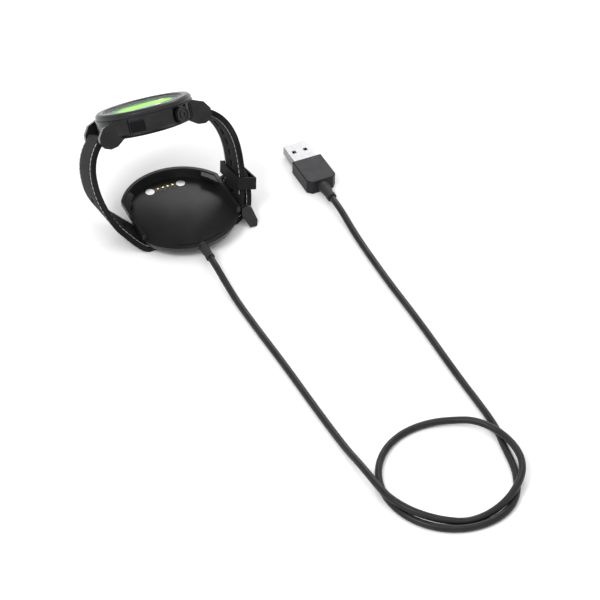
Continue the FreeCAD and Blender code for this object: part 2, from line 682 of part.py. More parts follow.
def lead_tube(label, route):
    wire, radii = rounded_wire(route)
    direction = Vector(*route[1]) - Vector(*route[0])
    section = Part.Wire(Part.makeCircle(D["cord_rad"], Vector(*route[0]), direction))
    tube = wire.makePipeShell([section], True, True)
    expected = math.pi * D["cord_rad"] ** 2 * wire.Length
    print(label, "length", round(wire.Length, 1), "radii", radii, "volume/expected", round(tube.Volume / expected, 4))
    return sub_part(feature(label + "_shape", tube), label)


def lead_coil():
    """The closed outer shape of the coil of one and a half turns."""
    ring = cylinder("coil_outside", "dims.coil_outer + dims.cord_rad", "dims.cord_rad * 2",
                    "dims.coil_x", "dims.coil_y", 0)
    middle = cylinder("coil_inside", "dims.coil_inner - dims.cord_rad", "dims.cord_rad * 4",
                      "dims.coil_x", "dims.coil_y", -2)
    return sub_part(cut("coil_cut", ring, middle), "lead_coil")


def cable_gland():
    """The short ribbed sleeve where the lead leaves the dock."""
    root = Part.makeCylinder(2.2, 4.6, Vector(0, -25.9, D["gland_up"]), Vector(0, -1, 0))
    taper = Part.makeCone(2.2, 1.9, 4.0, Vector(0, -30.5, D["gland_up"]), Vector(0, -1, 0))
    collar = Part.makeCylinder(2.15, 1.5, Vector(0, D["gland_end_y"] + 1.5, D["gland_up"]), Vector(0, -1, 0))
    sleeve = root.fuse(taper).fuse(collar)
    return sub_part(feature("gland_shape", sleeve), "cable_gland")


def plug():
    x, z = D["plug_x"], D["plug_axis_up"]
    rear, front = D["mould_rear_y"], D["mould_front_y"]
    half = D["mould_wide"] / 2
    outline = ((-half + 2.2, rear), (half - 2.2, rear), (half, rear + 2.2), (half, front), (-half, front),
               (-half, rear + 2.2))
    points = [Vector(x + px, py, z - D["mould_thick"] / 2) for px, py in outline]
    solid = Part.Face(Part.makePolygon(points + points[:1])).extrude(Vector(0, 0, D["mould_thick"]))
    solid = solid.makeFillet(0.6, [e for e in solid.Edges if abs(e.tangentAt(e.FirstParameter).z) < 0.01])
    seat = Part.makeBox(D["shell_wide"], 9, D["shell_thick"],
                        Vector(x - D["shell_wide"] / 2, front - 8.5, z - D["shell_thick"] / 2))
    sub_part(feature("plug_mould_shape", solid.cut(seat)), "plug_mould")
    sleeve = box("shell_sleeve", "dims.shell_wide", "dims.shell_front_y - dims.mould_front_y + 8.5",
                 "dims.shell_thick", "dims.plug_x", "(dims.shell_front_y + dims.mould_front_y - 8.5) / 2",
                 "dims.plug_axis_up - dims.shell_thick / 2")
    hollow = box("shell_hollow", "dims.shell_wide - 0.7", 30, "dims.shell_thick - 0.7", "dims.plug_x",
                 "dims.shell_front_y - 6", "dims.plug_axis_up - dims.shell_thick / 2 + 0.35")
    windows = [box(f"shell_window_{n}", 2.0, 2.0, 20, f"dims.plug_x + ({side} * 3.0)", 19.5, -5)
               for n, side in enumerate((-1, 1))]
    sub_part(cut("shell_cut", sleeve, hollow, *windows), "plug_shell")
    tongue = box("tongue_solid", "dims.shell_wide - 1.0", 20, 1.7, "dims.plug_x", "dims.shell_front_y - 10.8",
                 "dims.plug_axis_up - dims.shell_thick / 2 + 0.4")
    sub_part(tongue, "plug_tongue")
    pads = [box(f"plug_pad_{n}", 1.2, 9, 0.2, f"dims.plug_x + ({offset})", 20.0,
                "dims.plug_axis_up - dims.shell_thick / 2 + 2.1") for n, offset in enumerate((-3.5, -1.0, 1.0, 3.5))]
    strip = box("plug_pad_strip", 8.2, 1.0, 0.2, "dims.plug_x", 15.0, "dims.plug_axis_up - dims.shell_thick / 2 + 2.1")
    sub_part(fuse("plug_contact_solid", strip, *pads), "plug_contacts")
    relief = Part.makeCone(3.0, 2.1, 8.5, Vector(x, rear, z), Vector(0, -1, 0))
    relief = relief.fuse(Part.makeCylinder(2.4, 2.0, Vector(x, rear - 8.5, z), Vector(0, -1, 0)))
    sub_part(feature("plug_relief_shape", relief), "plug_relief")


# ---- build ----

def build():
    mid_case()
    bezel()
    display_stack()
    head_inside()
    back_cover()
    button()
    side_window()
    spring_bar("spring_bar_long", -1)
    spring_bar("spring_bar_short", 1)
    long_strap()
    short_strap()
    buckle()
    keeper()
    dock_shell()
    dock_inside()
    dock_contacts()
    lead_tube("lead_to_dock", DOCK_ROUTE)
    lead_coil()
    lead_tube("lead_to_plug", PLUG_ROUTE)
    cable_gland()
    plug()
    doc.recompute()


def check_and_write():
    for obj in doc.Objects:
        bad = [state for state in obj.State if state in ("Invalid", "Error")]
        if bad:
            raise RuntimeError(f"{obj.Name} is {bad}")
    for obj in SUB_PARTS:
        if obj.Shape.isNull() or not obj.Shape.isValid():
            raise RuntimeError(f"{obj.Label} has a bad shape")
    os.makedirs("parts", exist_ok=True)
    for obj in SUB_PARTS:
        obj.Shape.exportStep(f"parts/{obj.Label}.step")
    print(len(SUB_PARTS), "sub-parts")


build()
check_and_write()
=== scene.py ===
"""A golf watch with its strap buckled round a charging dock, and the dock's lead. Metres, +Z up."""

import math

import bmesh
import bpy
from mathutils import Matrix, Vector


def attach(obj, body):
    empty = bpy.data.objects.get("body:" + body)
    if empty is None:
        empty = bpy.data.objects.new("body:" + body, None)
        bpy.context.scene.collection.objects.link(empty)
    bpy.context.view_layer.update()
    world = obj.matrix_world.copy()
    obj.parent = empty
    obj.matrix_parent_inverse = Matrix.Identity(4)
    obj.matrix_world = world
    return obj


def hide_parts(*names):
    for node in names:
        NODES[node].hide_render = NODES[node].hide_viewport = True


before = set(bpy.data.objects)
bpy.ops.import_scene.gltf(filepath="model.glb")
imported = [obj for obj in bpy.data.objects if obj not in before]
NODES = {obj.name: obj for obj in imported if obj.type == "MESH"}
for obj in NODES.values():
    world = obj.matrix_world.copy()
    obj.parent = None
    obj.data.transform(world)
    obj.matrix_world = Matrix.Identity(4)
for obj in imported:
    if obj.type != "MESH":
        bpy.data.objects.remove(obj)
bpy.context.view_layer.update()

MM = 0.001

# the leaning loop of the strap, as the CAD has it, in millimetres and radians
LEAN = math.radians(32.0)
LOOP_FOOT_Y = -4.0
HALF_THICK = 1.5
TWIST_HEIGHT = 35.0

# the watch head on the loop, in millimetres
HEAD_X = -6.0
HEAD_UP = 49.5
SPRING_BAR_X = 26.0
SPRING_BAR_UP = 2.0

# the lead, in millimetres
CORD_DIAMETER = 3.2
COIL_CENTRE = (39.5, -202.3)


# ---- camera ----

def look_at(place, target):
    """A camera's turn: it looks from place to target with +Z up in the picture."""
    return (Vector(place) - Vector(target)).to_track_quat("Z", "Y")


def make_camera():
    azimuth = math.radians(-25.0)
    elevation = math.radians(42.5)
    distance = 0.98
    target = Vector((0.0284, -0.0745, 0.0))
    back = Vector((math.sin(azimuth) * math.cos(elevation), -math.cos(azimuth) * math.cos(elevation),
                   math.sin(elevation)))
    data = bpy.data.cameras.new("camera")
    data.sensor_width = 36.0
    data.lens = 126.7
    data.clip_start = 0.01
    data.clip_end = 20.0
    camera = bpy.data.objects.new("camera", data)
    camera.location = target + back * distance
    camera.rotation_mode = "QUATERNION"
    camera.rotation_quaternion = look_at(camera.location, target)
    bpy.context.scene.collection.objects.link(camera)
    bpy.context.scene.camera = camera


# ---- the lead ----

DOCK_ROUTE = ((0.0, -36.0, 5.9), (0.0, -43.0, 5.9), (0.4, -53.0, 3.5), (0.9, -65.0, 1.6), (1.6, -84.0, 1.6),
              (3.2, -112.0, 1.6), (4.2, -144.0, 1.6), (5.4, -170.0, 1.8), (6.3, -183.0, 3.6))
PLUG_ROUTE = ((68.2, -196.0, 1.6), (69.8, -189.0, 1.6), (70.6, -178.0, 1.6), (70.2, -150.0, 1.6),
              (71.0, -114.0, 1.6), (70.5, -84.0, 1.6), (70.8, -62.0, 1.6), (71.3, -46.0, 1.65),
              (71.8, -35.0, 2.6), (72.0, -26.0, 3.75), (72.0, -18.0, 3.75))
# the coil's turns: (angle in degrees, radius, height of the line) where they change, eased in between
COIL_STATIONS = ((180, 32.2, 4.9), (205, 29.6, 4.9), (232, 27.4, 3.0), (255, 27.4, 1.6), (290, 27.5, 2.6),
                 (310, 28.8, 4.9), (345, 31.0, 4.9), (400, 31.0, 4.9), (425, 31.0, 2.4), (445, 31.0, 1.6),
                 (650, 31.0, 1.6), (700, 27.6, 1.6), (712, 27.6, 1.6))
COIL_FIRST = 180
COIL_END = 712
COIL_STEP = 15


def eased(stations, where):
    """The radius and height at one angle of the coil."""
    for before, after in zip(stations, stations[1:]):
        if where <= after[0]:
            share = (where - before[0]) / (after[0] - before[0])
            share = share * share * (3 - 2 * share)
            return [a + (b - a) * share for a, b in zip(before[1:], after[1:])]
    return list(stations[-1][1:])


def coil_points():
    """About one and a half turns, from the left of the coil to its right."""
    points = []
    for degrees in range(COIL_FIRST, COIL_END, COIL_STEP):
        radius, height = eased(COIL_STATIONS, degrees)
        angle = math.radians(degrees)
        x = COIL_CENTRE[0] + radius * math.cos(angle)
        y = COIL_CENTRE[1] + radius * math.sin(angle)
        points.append((x, y, height))
    return points


def make_lead():
    curve = bpy.data.curves.new("lead", "CURVE")
    curve.dimensions = "3D"
    curve.bevel_depth = CORD_DIAMETER / 2 * MM
    curve.bevel_resolution = 6
    curve.resolution_u = 10
    curve.use_fill_caps = True
    points = list(DOCK_ROUTE) + coil_points() + list(PLUG_ROUTE)
    spline = curve.splines.new("NURBS")
    spline.points.add(len(points) - 1)
    for control, point in zip(spline.points, points):
        control.co = (point[0] * MM, point[1] * MM, point[2] * MM, 1.0)
    spline.order_u = 3
    spline.use_endpoint_u = True
    lead = bpy.data.objects.new("lead", curve)
    bpy.context.scene.collection.objects.link(lead)
    lead.data.materials.append(MATERIALS["cord"])
    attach(lead, "dock")
    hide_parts("lead_to_dock", "lead_coil", "lead_to_plug")


# ---- materials ----

def new_material(name, color, roughness, metallic=0.0, coat=0.0, sheen=0.0, specular=0.5):
    """A principled material; returns it with its node tree and shader."""
    material = bpy.data.materials.new(name)
    material.use_nodes = True
    tree = material.node_tree
    shader = tree.nodes["Principled BSDF"]
    shader.inputs["Base Color"].default_value = (*color, 1.0)
    shader.inputs["Roughness"].default_value = roughness
    shader.inputs["Metallic"].default_value = metallic
    shader.inputs["Coat Weight"].default_value = coat
    shader.inputs["Sheen Weight"].default_value = sheen
    shader.inputs["Specular IOR Level"].default_value = specular
    return material, tree, shader


def node(tree, kind, **settings):
    made = tree.nodes.new(kind)
    for key, value in settings.items():
        setattr(made, key, value)
    return made


def noise(tree, coords, scale, detail=4.0, roughness=0.5):
    made = node(tree, "ShaderNodeTexNoise")
    made.inputs["Scale"].default_value = scale
    made.inputs["Detail"].default_value = detail
    made.inputs["Roughness"].default_value = roughness
    tree.links.new(coords, made.inputs["Vector"])
    return made.outputs["Fac"]


def ramp(tree, value, low, high, low_color, high_color):
    made = node(tree, "ShaderNodeValToRGB")
    made.color_ramp.elements[0].position = low
    made.color_ramp.elements[0].color = (*low_color, 1.0)
    made.color_ramp.elements[1].position = high
    made.color_ramp.elements[1].color = (*high_color, 1.0)
    tree.links.new(value, made.inputs["Fac"])
    return made.outputs["Color"]


def remap(tree, value, low, high):
    """The value, from 0 to 1, mapped to low..high."""
    made = node(tree, "ShaderNodeMapRange")
    made.inputs["To Min"].default_value = low
    made.inputs["To Max"].default_value = high
    tree.links.new(value, made.inputs["Value"])
    return made.outputs["Result"]


def bump(tree, shader, value, strength, distance, under=None):
    made = node(tree, "ShaderNodeBump")
    made.inputs["Strength"].default_value = strength
    made.inputs["Distance"].default_value = distance
    tree.links.new(value, made.inputs["Height"])
    if under is not None:
        tree.links.new(under, made.inputs["Normal"])
    tree.links.new(made.outputs["Normal"], shader.inputs["Normal"])
    return made.outputs["Normal"]


def object_coords(tree):
    return node(tree, "ShaderNodeTexCoord").outputs["Object"]


def moulded(name, color, lighter, roughness, spread=0.08, coat=0.0, specular=0.5):
    """Moulded plastic: fine spark texture, slow shade changes, and handling marks in the roughness."""
    material, tree, shader = new_material(name, color, roughness, coat=coat, specular=specular)
    coords = object_coords(tree)
    cloudy = noise(tree, coords, 90.0, 5.0, 0.6)
    tree.links.new(ramp(tree, cloudy, 0.3, 0.75, color, lighter), shader.inputs["Base Color"])
    smudge = noise(tree, coords, 260.0, 3.0, 0.55)
    tree.links.new(remap(tree, smudge, roughness - spread, roughness + spread), shader.inputs["Roughness"])
    bump(tree, shader, noise(tree, coords, 9000.0, 2.0), 0.22, 0.00004)
    return material


def coated_metal(name, color, lighter, roughness, metallic=0.75, coat=0.25):
    """Coated metal with faint brushing along X and worn, lighter patches."""
    material, tree, shader = new_material(name, color, roughness, metallic=metallic, coat=coat)
    coords = object_coords(tree)
    stretch = node(tree, "ShaderNodeMapping")
    stretch.inputs["Scale"].default_value = (120.0, 2600.0, 2600.0)
    tree.links.new(coords, stretch.inputs["Vector"])
    brushed = noise(tree, stretch.outputs["Vector"], 1.0, 3.0)
    cloudy = noise(tree, coords, 140.0, 4.0, 0.6)
    tree.links.new(ramp(tree, cloudy, 0.35, 0.8, color, lighter), shader.inputs["Base Color"])
    tree.links.new(remap(tree, brushed, roughness - 0.05, roughness + 0.07), shader.inputs["Roughness"])
    bump(tree, shader, brushed, 0.12, 0.00003)
    return material


def bare_metal(name, color, roughness):
    """Uncoated metal with darker patches and a fine grain."""
    material, tree, shader = new_material(name, color, roughness, metallic=1.0)
    coords = object_coords(tree)
    cloudy = noise(tree, coords, 420.0, 4.0, 0.6)
    darker = tuple(c * 0.86 for c in color)
    tree.links.new(ramp(tree, cloudy, 0.3, 0.7, darker, color), shader.inputs["Base Color"])
    tree.links.new(remap(tree, noise(tree, coords, 1500.0), roughness - 0.06, roughness + 0.1),
                   shader.inputs["Roughness"])
    bump(tree, shader, noise(tree, coords, 5000.0), 0.08, 0.00002)
    return material


def woven(name):
    """Tight black webbing: threads along and across the strap, with a faint fluff."""
    material, tree, shader = new_material(name, (0.012, 0.012, 0.013), 0.7, sheen=0.02, specular=0.12)
    uv = node(tree, "ShaderNodeTexCoord").outputs["UV"]
    threads = []
    for direction in ("X", "Y"):
        wave = node(tree, "ShaderNodeTexWave", wave_type="BANDS", bands_direction=direction)
        wave.inputs["Scale"].default_value = 0.55
        wave.inputs["Distortion"].default_value = 0.25
        wave.inputs["Detail"].default_value = 1.0
        tree.links.new(uv, wave.inputs["Vector"])
        threads.append(wave.outputs["Fac"])
    weave = node(tree, "ShaderNodeMath", operation="MULTIPLY")
    tree.links.new(threads[0], weave.inputs[0])
    tree.links.new(threads[1], weave.inputs[1])
    tree.links.new(ramp(tree, weave.outputs[0], 0.05, 0.9, (0.004, 0.004, 0.005), (0.018, 0.018, 0.019)),
                   shader.inputs["Base Color"])
    fluff = noise(tree, object_coords(tree), 1400.0, 3.0)
    tree.links.new(remap(tree, fluff, 0.6, 0.85), shader.inputs["Roughness"])
    first = bump(tree, shader, weave.outputs[0], 0.55, 0.00012)
    bump(tree, shader, fluff, 0.2, 0.00006, under=first)
    return material


def leather(name):
    """Grained leather: small raised cells with dark lines between them."""
    material, tree, shader = new_material(name, (0.01, 0.01, 0.011), 0.5, specular=0.12)
    coords = object_coords(tree)
    cells = node(tree, "ShaderNodeTexVoronoi", feature="DISTANCE_TO_EDGE")
    cells.inputs["Scale"].default_value = 1500.0
    tree.links.new(coords, cells.inputs["Vector"])
    shade = ramp(tree, cells.outputs["Distance"], 0.0, 0.3, (0.004, 0.004, 0.004), (0.014, 0.014, 0.015))
    tree.links.new(shade, shader.inputs["Base Color"])
    tree.links.new(remap(tree, noise(tree, coords, 500.0), 0.42, 0.62), shader.inputs["Roughness"])
    bump(tree, shader, cells.outputs["Distance"], 0.4, 0.00008)
    return material


def cord_jacket(name):
    """A smooth soft jacket with slow waviness and rubbed patches."""
    material, tree, shader = new_material(name, (0.008, 0.008, 0.009), 0.4, specular=0.25)
    coords = object_coords(tree)
    cloudy = noise(tree, coords, 120.0, 4.0, 0.6)
    tree.links.new(ramp(tree, cloudy, 0.3, 0.8, (0.006, 0.006, 0.0065), (0.02, 0.02, 0.021)),
                   shader.inputs["Base Color"])
    tree.links.new(remap(tree, noise(tree, coords, 700.0), 0.3, 0.48), shader.inputs["Roughness"])
    bump(tree, shader, noise(tree, coords, 4200.0, 3.0), 0.18, 0.00004)
    return material


def thread(name):
    """Light twisted sewing thread."""
    material, tree, shader = new_material(name, (0.5, 0.5, 0.5), 0.7, sheen=0.3)
    coords = object_coords(tree)
    twist = noise(tree, coords, 3800.0, 3.0)
    shade = ramp(tree, twist, 0.25, 0.75, (0.3, 0.3, 0.31), (0.62, 0.62, 0.62))
    tree.links.new(shade, shader.inputs["Base Color"])
    tree.links.new(remap(tree, twist, 0.55, 0.85), shader.inputs["Roughness"])
    bump(tree, shader, twist, 0.4, 0.00008)
    return material


def clear_glass(name):
    """Clear crystal with a very low glare, so that the dial shows at a flat angle."""
    material, tree, shader = new_material(name, (1.0, 1.0, 1.0), 0.03, specular=0.1)
    shader.inputs["Transmission Weight"].default_value = 1.0
    shader.inputs["IOR"].default_value = 1.02
    smear = noise(tree, object_coords(tree), 200.0, 3.0)
    tree.links.new(remap(tree, smear, 0.0, 0.06), shader.inputs["Roughness"])
    return material


def circle_mask(tree, uv, centre, size, warp, amount):
    """1 inside a warped ellipse of the dial, 0 outside."""
    soft = 0.06
    offset = node(tree, "ShaderNodeMapping", vector_type="POINT")
    offset.inputs["Location"].default_value = (-centre[0] / size[0], -centre[1] / size[1], 0.0)
    offset.inputs["Scale"].default_value = (1.0 / size[0], 1.0 / size[1], 0.0)
    tree.links.new(uv, offset.inputs["Vector"])
    reach = node(tree, "ShaderNodeVectorMath", operation="LENGTH")
    tree.links.new(offset.outputs["Vector"], reach.inputs[0])
    wobble = node(tree, "ShaderNodeMath", operation="MULTIPLY_ADD")
    wobble.inputs[1].default_value = amount
    tree.links.new(warp, wobble.inputs[0])
    tree.links.new(reach.outputs["Value"], wobble.inputs[2])
    edge = node(tree, "ShaderNodeMapRange")
    edge.inputs["From Min"].default_value = 1.0 + amount / 2
    edge.inputs["From Max"].default_value = 1.0 + amount / 2 - soft
    tree.links.new(wobble.outputs[0], edge.inputs["Value"])
    return edge.outputs["Result"]


def over(tree, mask, top_color, below):
    """One flat map colour laid over what is below it where the mask is 1."""
    mix = node(tree, "ShaderNodeMix", data_type="RGBA")
    tree.links.new(mask, mix.inputs["Factor"])
    tree.links.new(below, mix.inputs["A"])
    mix.inputs["B"].default_value = (*top_color, 1.0)
    return mix.outputs["Result"]


def dial_picture(name):
    """A lit course map: rough, fairway, green, a pond and bunkers."""
    rough = (0.06, 0.3, 0.01)
    fairway = (0.24, 0.72, 0.0)
    green = (0.4, 0.85, 0.03)
    pond = (0.03, 0.16, 0.75)
    sand = (0.8, 0.82, 0.85)
    material, tree, shader = new_material(name, (0.0, 0.1, 0.02), 0.8, specular=0.0)
    uv = node(tree, "ShaderNodeTexCoord").outputs["UV"]
    warp = noise(tree, uv, 3.2, 2.0)
    grass = ramp(tree, noise(tree, uv, 26.0, 4.0), 0.35, 0.7, (0.004, 0.07, 0.03), (0.008, 0.12, 0.045))
    color = over(tree, circle_mask(tree, uv, (0.02, 0.02), (0.86, 0.6), warp, 0.5), rough, grass)
    color = over(tree, circle_mask(tree, uv, (0.02, 0.06), (0.78, 0.42), warp, 0.6), fairway, color)
    color = over(tree, circle_mask(tree, uv, (0.52, 0.16), (0.2, 0.2), warp, 0.2), green, color)
    color = over(tree, circle_mask(tree, uv, (-0.05, -0.5), (0.26, 0.16), warp, 0.3), pond, color)
    for spot in ((-0.42, -0.38), (0.3, -0.44), (0.66, 0.42)):
        color = over(tree, circle_mask(tree, uv, spot, (0.09, 0.07), warp, 0.3), sand, color)
    tree.links.new(color, shader.inputs["Base Color"])
    tree.links.new(color, shader.inputs["Emission Color"])
    shader.inputs["Emission Strength"].default_value = 0.25
    return material


def floor_paint(name):
    """A matt pale floor with hardly any variation."""
    material, tree, shader = new_material(name, (0.9, 0.9, 0.9), 0.85)
    cloudy = noise(tree, object_coords(tree), 3.0)
    shade = ramp(tree, cloudy, 0.2, 0.8, (0.88, 0.88, 0.88), (0.92, 0.92, 0.92))
    tree.links.new(shade, shader.inputs["Base Color"])
    return material


MATERIALS = {
    "case": coated_metal("case_coating", (0.012, 0.012, 0.013), (0.026, 0.026, 0.028), 0.3),
    "bezel": coated_metal("bezel_coating", (0.006, 0.006, 0.007), (0.012, 0.012, 0.013), 0.3,
                          metallic=0.2, coat=0.0),
    "buckle": coated_metal("buckle_coating", (0.01, 0.01, 0.011), (0.022, 0.022, 0.023), 0.36,
                           metallic=0.4, coat=0.1),
    "steel": bare_metal("steel", (0.6, 0.6, 0.62), 0.3),
    "plug_steel": bare_metal("plug_steel", (0.34, 0.34, 0.35), 0.42),
    "magnet": bare_metal("magnet_nickel", (0.7, 0.7, 0.7), 0.4),
    "gold": bare_metal("gold_plate", (0.83, 0.62, 0.28), 0.28),
    "foil": bare_metal("battery_foil", (0.62, 0.62, 0.65), 0.4),
    "window": moulded("window_gloss", (0.002, 0.002, 0.003), (0.004, 0.004, 0.006), 0.12,
                      spread=0.05, specular=0.15),
    "dock": moulded("dock_plastic", (0.008, 0.008, 0.009), (0.014, 0.014, 0.015), 0.32,
                    spread=0.06, specular=0.22),
    "plug": moulded("plug_plastic", (0.012, 0.012, 0.014), (0.018, 0.018, 0.02), 0.42,
                    spread=0.06, specular=0.15),
    "inner": moulded("inner_plastic", (0.03, 0.03, 0.032), (0.05, 0.05, 0.052), 0.5),
    "tongue": moulded("tongue_plastic", (0.008, 0.008, 0.008), (0.014, 0.014, 0.014), 0.5, specular=0.2),
    "board": moulded("board_green", (0.006, 0.05, 0.025), (0.012, 0.09, 0.04), 0.35, coat=0.4),
    "ceramic": moulded("ceramic", (0.45, 0.38, 0.27), (0.6, 0.52, 0.4), 0.6),
    "rubber": moulded("soft_rubber", (0.012, 0.012, 0.012), (0.022, 0.022, 0.022), 0.6, specular=0.35),
    "cord": cord_jacket("cord_jacket"),
    "strap": woven("strap_weave"),
    "leather": leather("keeper_leather"),
    "thread": thread("stitch_thread"),
    "glass": clear_glass("crystal_glass"),
    "dial": dial_picture("dial_picture"),
}


# ---- camera and cord first ----

make_camera()
make_lead()


# ---- mesh helpers ----

def add_mesh(name, verts, faces, material, body, smooth=True, uvs=None):
    """A closed mesh piece in the row frame; uvs holds one pair per vertex."""
    mesh = bpy.data.meshes.new(name)
    mesh.from_pydata([tuple(v) for v in verts], [], faces)
    if uvs is not None:
        layer = mesh.uv_layers.new(name="along")
        for loop in mesh.loops:
            layer.data[loop.index].uv = uvs[loop.vertex_index]
    bm = bmesh.new()
    bm.from_mesh(mesh)
    bmesh.ops.recalc_face_normals(bm, faces=bm.faces)
    bm.to_mesh(mesh)
    bm.free()
    for polygon in mesh.polygons:
        polygon.use_smooth = smooth
    mesh.materials.append(material)
    obj = bpy.data.objects.new(name, mesh)
    bpy.context.scene.collection.objects.link(obj)
    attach(obj, body)
    return obj


def loop_point(b, q, a=0.0, twist=0.0):
    """A point of the leaning loop, in metres: b along X, q up the loop, a across the strap."""
    return Vector((
        b,
        LOOP_FOOT_Y + q * math.sin(LEAN) - a * math.cos(twist),
        HALF_THICK + q * math.cos(LEAN) + a * math.sin(twist),
    )) * MM


def twist_at(q):
    """How far the strap has turned from flat towards the head's lean at this height."""
    share = min(max(q / TWIST_HEIGHT, 0.0), 1.0)
    return LEAN * share * share * (3 - 2 * share)


# the watch head's own frame: +Z out of the dial, +X towards the short strap
HEAD = Matrix.Translation(loop_point(HEAD_X, HEAD_UP)) @ Matrix.Rotation(-LEAN, 4, "X")

# each strap's middle line, as (b, q) of loop_point, from its spring bar to its free end or its buckle pin
LONG_PATH = ((-32.0, 51.5), (-35.2, 48.2), (-37.9, 44.0), (-39.8, 38.5), (-40.4, 32.0), (-39.9, 26.0),
             (-38.0, 19.5), (-34.9, 13.0), (-30.9, 8.0), (-27.0, 3.6), (-24.2, 1.0), (-21.9, 0.05),
             (-19.0, 0.0), (-6.0, 0.0), (8.0, 0.0), (18.5, 0.0), (21.5, 0.1), (24.4, 0.9), (28.0, 2.8),
             (30.8, 5.0), (32.1, 8.4), (33.1, 13.0), (34.4, 18.8))
SHORT_PATH = ((20.0, 51.5), (23.6, 49.8), (27.6, 46.0), (30.4, 41.0), (31.9, 35.5), (32.3, 30.0),
              (32.0, 24.5), (31.2, 18.5), (29.6, 13.0), (27.8, 7.4))
# a path point lower than this lies flat
FLAT_BELOW = 0.15
SPANS = 16


def smooth_path(path, count):
    """Evenly spaced points of a centripetal spline through the path, and its length."""
    points = [Vector(p) for p in path]
    points = [points[0] * 2 - points[1]] + points + [points[-1] * 2 - points[-2]]
    fine = []
    for p0, p1, p2, p3 in zip(points, points[1:], points[2:], points[3:]):
        d1 = max((p1 - p0).length ** 0.5, 1e-6)
        d2 = max((p2 - p1).length ** 0.5, 1e-6)
        d3 = max((p3 - p2).length ** 0.5, 1e-6)
        m1 = (p2 - p1 + ((p1 - p0) / d1 - (p2 - p0) / (d1 + d2)) * d2)
        m2 = (p2 - p1 + ((p3 - p2) / d3 - (p3 - p1) / (d2 + d3)) * d2)
        for step in range(SPANS):
            u = step / SPANS
            fine.append(p1 * (1 - 3 * u * u + 2 * u ** 3) + m1 * (u - 2 * u * u + u ** 3)
                        + p2 * (3 * u * u - 2 * u ** 3) + m2 * (u ** 3 - u * u))
    fine.append(points[-2])
    lengths = [0.0]
    for before, after in zip(fine, fine[1:]):
        lengths.append(lengths[-1] + (after - before).length)
    result = []
    place = 0
    for n in range(count):
        goal = lengths[-1] * n / (count - 1)
        while place < len(lengths) - 2 and lengths[place + 1] < goal:
            place += 1
        share = (goal - lengths[place]) / (lengths[place + 1] - lengths[place])
        point = fine[place].lerp(fine[place + 1], share)
        result.append((point.x, 0.0 if point.y < FLAT_BELOW else point.y))
    return result, lengths[-1]


def strap_frame(points, n):
    """Place, along, across and through directions at one path point, in metres."""
    b, q = points[n]
    before = points[max(n - 1, 0)]
    after = points[min(n + 1, len(points) - 1)]
    along = loop_point(*after) - loop_point(*before)
    if q == 0.0:
        along = Vector((1, 0, 0))
    along.normalize()
    twist = twist_at(q)
    across = (loop_point(b, q, 1, twist) - loop_point(b, q)).normalized()
    through = along.cross(across).normalized()
    return loop_point(b, q), along, across, through


# half of a face's cross-section, from its middle over the stitch groove to the strap's edge:
# (share of the half width, share of the half thickness)
FACE_PROFILE = ((0.0, 1.0), (0.3, 1.0), (0.6, 0.99), (0.83, 0.96), (0.855, 0.86), (0.885, 0.86),
                (0.91, 0.95), (0.955, 0.9), (0.985, 0.72), (1.0, 0.4), (1.0, 0.0))

STITCH_RADIUS = 0.26 * MM
STITCH_LENGTH = 2.0 * MM
STITCH_OUT = 0.87
STITCH_UP = 0.88
STITCH_FLAT = 0.8
# along one stitch: (share of its length, share of its radius)
STITCH_RINGS = ((-0.5, 0.35), (-0.4, 0.9), (0.0, 1.0), (0.4, 0.9), (0.5, 0.35))
STITCH_SIDES = 6


def section_loop():
    """The whole cross-section, once round."""
    upper = [(-a, t) for a, t in FACE_PROFILE[:0:-1]] + list(FACE_PROFILE)
    lower = [(a, -t) for a, t in upper[::-1]][1:-1]
    return upper + lower


def strap_mesh(path, count, thick_at, wide_at, end_at):
    """A closed strap, with one padded cross-section per path point; also gives the path points."""
    points, length = smooth_path(path, count)
    section = section_loop()
    verts = []
    uvs = []
    for n in range(count):
        share = n / (count - 1)
        place, _, across, through = strap_frame(points, n)
        half = thick_at(share) / 2 * MM
        wide = wide_at(share) / 2 * MM * end_at(share)
        for a, t in section:
            verts.append(place + across * (a * wide) + through * (t * half))
            uvs.append((share * length, a * wide / MM))
    size = len(section)
    faces = []
    for n in range(count - 1):
        for k in range(size):
            after = (k + 1) % size
            faces.append((n * size + k, n * size + after, (n + 1) * size + after, (n + 1) * size + k))
    faces.append(tuple(range(size)))
    faces.append(tuple(range((count - 1) * size, count * size)))
    return verts, faces, uvs, points


def add_stitch(verts, faces, middle, along, across, through):
    """One short thread, fat in the middle, added to verts and faces."""
    base = len(verts)
    for shift, fat in STITCH_RINGS:
        for k in range(STITCH_SIDES):
            angle = 2 * math.pi * k / STITCH_SIDES
            radius = STITCH_RADIUS * fat
            verts.append(middle + along * (STITCH_LENGTH * shift) + across * (radius * math.cos(angle))
                         + through * (radius * STITCH_FLAT * math.sin(angle)))
    last = base + (len(STITCH_RINGS) - 1) * STITCH_SIDES
    for ring in range(base, last, STITCH_SIDES):
        for k in range(STITCH_SIDES):
            after = (k + 1) % STITCH_SIDES
            faces.append((ring + k, ring + after, ring + STITCH_SIDES + after, ring + STITCH_SIDES + k))
    faces.append(tuple(base + k for k in range(STITCH_SIDES)))
    faces.append(tuple(last + k for k in range(STITCH_SIDES)))


def stitch_mesh(points, thick_at, wide_at, first, last, pitch_steps):
    """Short sunk threads along both edges of both faces."""
    verts = []
    faces = []
    count = len(points)
    for n in range(first, last, pitch_steps):
        share = n / (count - 1)
        place, along, across, through = strap_frame(points, n)
        half = thick_at(share) / 2 * MM
        wide = wide_at(share) / 2 * MM
        for side in (-1, 1):
            for up in (-1, 1):
                middle = place + across * (STITCH_OUT * wide * side) + through * (STITCH_UP * half * up)
                add_stitch(verts, faces, middle, along, across, through)
    return verts, faces


